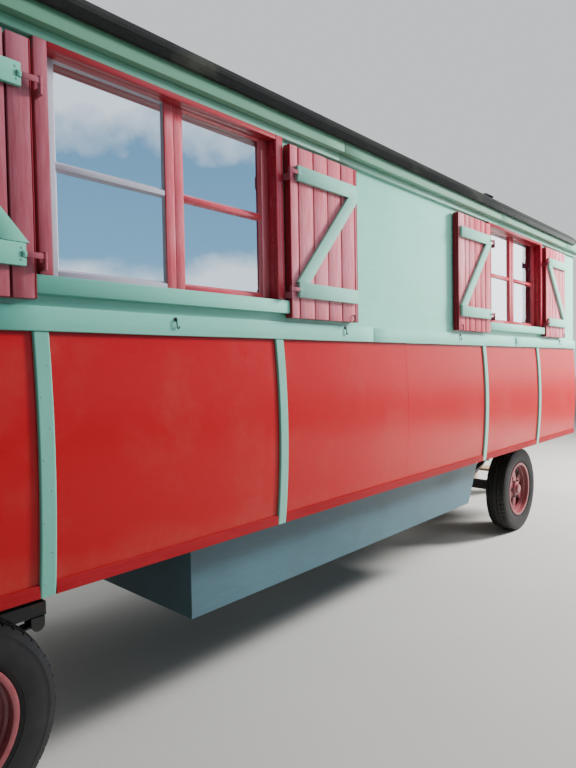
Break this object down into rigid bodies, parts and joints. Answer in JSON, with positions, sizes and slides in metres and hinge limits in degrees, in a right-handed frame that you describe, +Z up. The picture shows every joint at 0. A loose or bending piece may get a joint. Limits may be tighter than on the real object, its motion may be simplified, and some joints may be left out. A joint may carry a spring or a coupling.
{
  "type": "vardo wagon",
  "caption": "Wooden living wagon with bowed side panels, domed roof, shuttered windows, rear door and steps, on spoked wheels with a turntable fore-carriage and drawbar.",
  "frame": {"origin": "on the ground under the middle of the whole length, drawbar and steps included", "axes": "+X towards the rear end with the door, -Y towards the left side, +Z up"},
  "size_m": [9.561, 2.47, 3.329],
  "materials": {
    "mint_paint": "satin mint green gloss paint on boards",
    "batten_paint": "satin mint green paint, greyed",
    "red_panel": "glossy red paint on bowed sheet",
    "rail_paint": "satin red paint",
    "red_trim": "glossy dark red paint",
    "shutter_paint": "weathered red paint on boards, mint green ledges",
    "roof_felt": "mineral roofing felt",
    "black_iron": "black painted iron",
    "timber": "aged bare timber",
    "step_timber": "weathered timber",
    "box_paint": "flat grey-blue paint on sheet",
    "wheel_paint": "faded red paint",
    "tyre": "black rubber",
    "glass": "clear window glass",
    "door_paint": "glossy red paint",
    "brass": "worn brass",
    "curtain_cloth": "blue-violet cotton"
  },
  "bodies": {
    "root": {"chassis_frame": "black_iron", "cross_bearers": "timber", "floor": "timber", "left_lower_wall": "red_panel", "right_lower_wall": "red_panel", "front_lower_wall": "red_panel", "rear_lower_wall": "red_panel", "left_upper_wall": "mint_paint", "right_upper_wall": "mint_paint", "front_upper_wall": "mint_paint", "rear_upper_wall": "mint_paint", "battens": "batten_paint", "belt_board": "mint_paint", "bottom_rails": "rail_paint", "fascia": "mint_paint", "roof": "roof_felt", "roof_vent": "black_iron", "window_frames": "red_trim", "sashes": "red_trim", "window_glass": "glass", "window_sills": "mint_paint", "shutter_hinges": "black_iron", "belly_box": "box_paint", "rear_axle": "black_iron", "rear_springs": "black_iron", "turntable_ring": "black_iron", "door_frame": "mint_paint", "entrance_steps": "step_timber", "curtain_rod": "brass", "curtain": "curtain_cloth"},
    "fore_carriage": {"fore_ring": "black_iron", "fore_frame": "black_iron", "front_springs": "black_iron", "front_axle": "black_iron"},
    "drawbar": {"drawbar": "black_iron"},
    "door": {"door_leaf": "door_paint", "door_glass": "glass", "door_handle": "brass"},
    "front_left_wheel": {"front_left_tyre": "tyre", "front_left_wheel": "wheel_paint"},
    "front_right_wheel": {"front_right_tyre": "tyre", "front_right_wheel": "wheel_paint"},
    "rear_left_wheel": {"rear_left_tyre": "tyre", "rear_left_wheel": "wheel_paint"},
    "rear_right_wheel": {"rear_right_tyre": "tyre", "rear_right_wheel": "wheel_paint"},
    "left_front_window_front_shutter": {"left_front_window_front_shutter": "shutter_paint"},
    "left_front_window_rear_shutter": {"left_front_window_rear_shutter": "shutter_paint"},
    "left_rear_window_front_shutter": {"left_rear_window_front_shutter": "shutter_paint"},
    "left_rear_window_rear_shutter": {"left_rear_window_rear_shutter": "shutter_paint"},
    "right_front_window_front_shutter": {"right_front_window_front_shutter": "shutter_paint"},
    "right_front_window_rear_shutter": {"right_front_window_rear_shutter": "shutter_paint"},
    "right_rear_window_front_shutter": {"right_rear_window_front_shutter": "shutter_paint"},
    "right_rear_window_rear_shutter": {"right_rear_window_rear_shutter": "shutter_paint"}
  },
  "joints": [
    {"name": "steer", "type": "hinge", "parent": "root", "child": "fore_carriage", "pos_m": [-2.30748, 0, 0.66], "axis": [0, 0, 1], "range_deg": [-35, 35]},
    {"name": "drawbar_pitch", "type": "hinge", "parent": "fore_carriage", "child": "drawbar", "pos_m": [-3.00747, 0, 0.588], "axis": [0, 1, 0], "range_deg": [0, 50]},
    {"name": "door_hinge", "type": "hinge", "parent": "root", "child": "door", "pos_m": [4.03252, 0.388, 0.93], "axis": [0, 0, 1], "range_deg": [0, 110]},
    {"name": "front_left_spin", "type": "hinge", "parent": "fore_carriage", "child": "front_left_wheel", "pos_m": [-2.30748, -0.933, 0.4025], "axis": [0, 1, 0], "continuous": true},
    {"name": "front_right_spin", "type": "hinge", "parent": "fore_carriage", "child": "front_right_wheel", "pos_m": [-2.30748, 0.933, 0.4025], "axis": [0, 1, 0], "continuous": true},
    {"name": "rear_left_spin", "type": "hinge", "parent": "root", "child": "rear_left_wheel", "pos_m": [2.78253, -0.933, 0.4025], "axis": [0, 1, 0], "continuous": true},
    {"name": "rear_right_spin", "type": "hinge", "parent": "root", "child": "rear_right_wheel", "pos_m": [2.78253, 0.933, 0.4025], "axis": [0, 1, 0], "continuous": true},
    {"name": "left_front_window_front_shutter_swing", "type": "hinge", "parent": "root", "child": "left_front_window_front_shutter", "pos_m": [-2.00097, -1.218, 1.892], "axis": [0, 0, 1], "range_deg": [0, 180]},
    {"name": "left_front_window_rear_shutter_swing", "type": "hinge", "parent": "root", "child": "left_front_window_rear_shutter", "pos_m": [-0.74398, -1.218, 1.892], "axis": [0, 0, -1], "range_deg": [0, 180]},
    {"name": "left_rear_window_front_shutter_swing", "type": "hinge", "parent": "root", "child": "left_rear_window_front_shutter", "pos_m": [1.72903, -1.218, 1.892], "axis": [0, 0, 1], "range_deg": [0, 180]},
    {"name": "left_rear_window_rear_shutter_swing", "type": "hinge", "parent": "root", "child": "left_rear_window_rear_shutter", "pos_m": [2.98603, -1.218, 1.892], "axis": [0, 0, -1], "range_deg": [0, 180]},
    {"name": "right_front_window_front_shutter_swing", "type": "hinge", "parent": "root", "child": "right_front_window_front_shutter", "pos_m": [-2.00097, 1.218, 1.892], "axis": [0, 0, -1], "range_deg": [0, 180]},
    {"name": "right_front_window_rear_shutter_swing", "type": "hinge", "parent": "root", "child": "right_front_window_rear_shutter", "pos_m": [-0.74398, 1.218, 1.892], "axis": [0, 0, 1], "range_deg": [0, 180]},
    {"name": "right_rear_window_front_shutter_swing", "type": "hinge", "parent": "root", "child": "right_rear_window_front_shutter", "pos_m": [1.72903, 1.218, 1.892], "axis": [0, 0, -1], "range_deg": [0, 180]},
    {"name": "right_rear_window_rear_shutter_swing", "type": "hinge", "parent": "root", "child": "right_rear_window_rear_shutter", "pos_m": [2.98603, 1.218, 1.892], "axis": [0, 0, 1], "range_deg": [0, 180]}
  ]
}
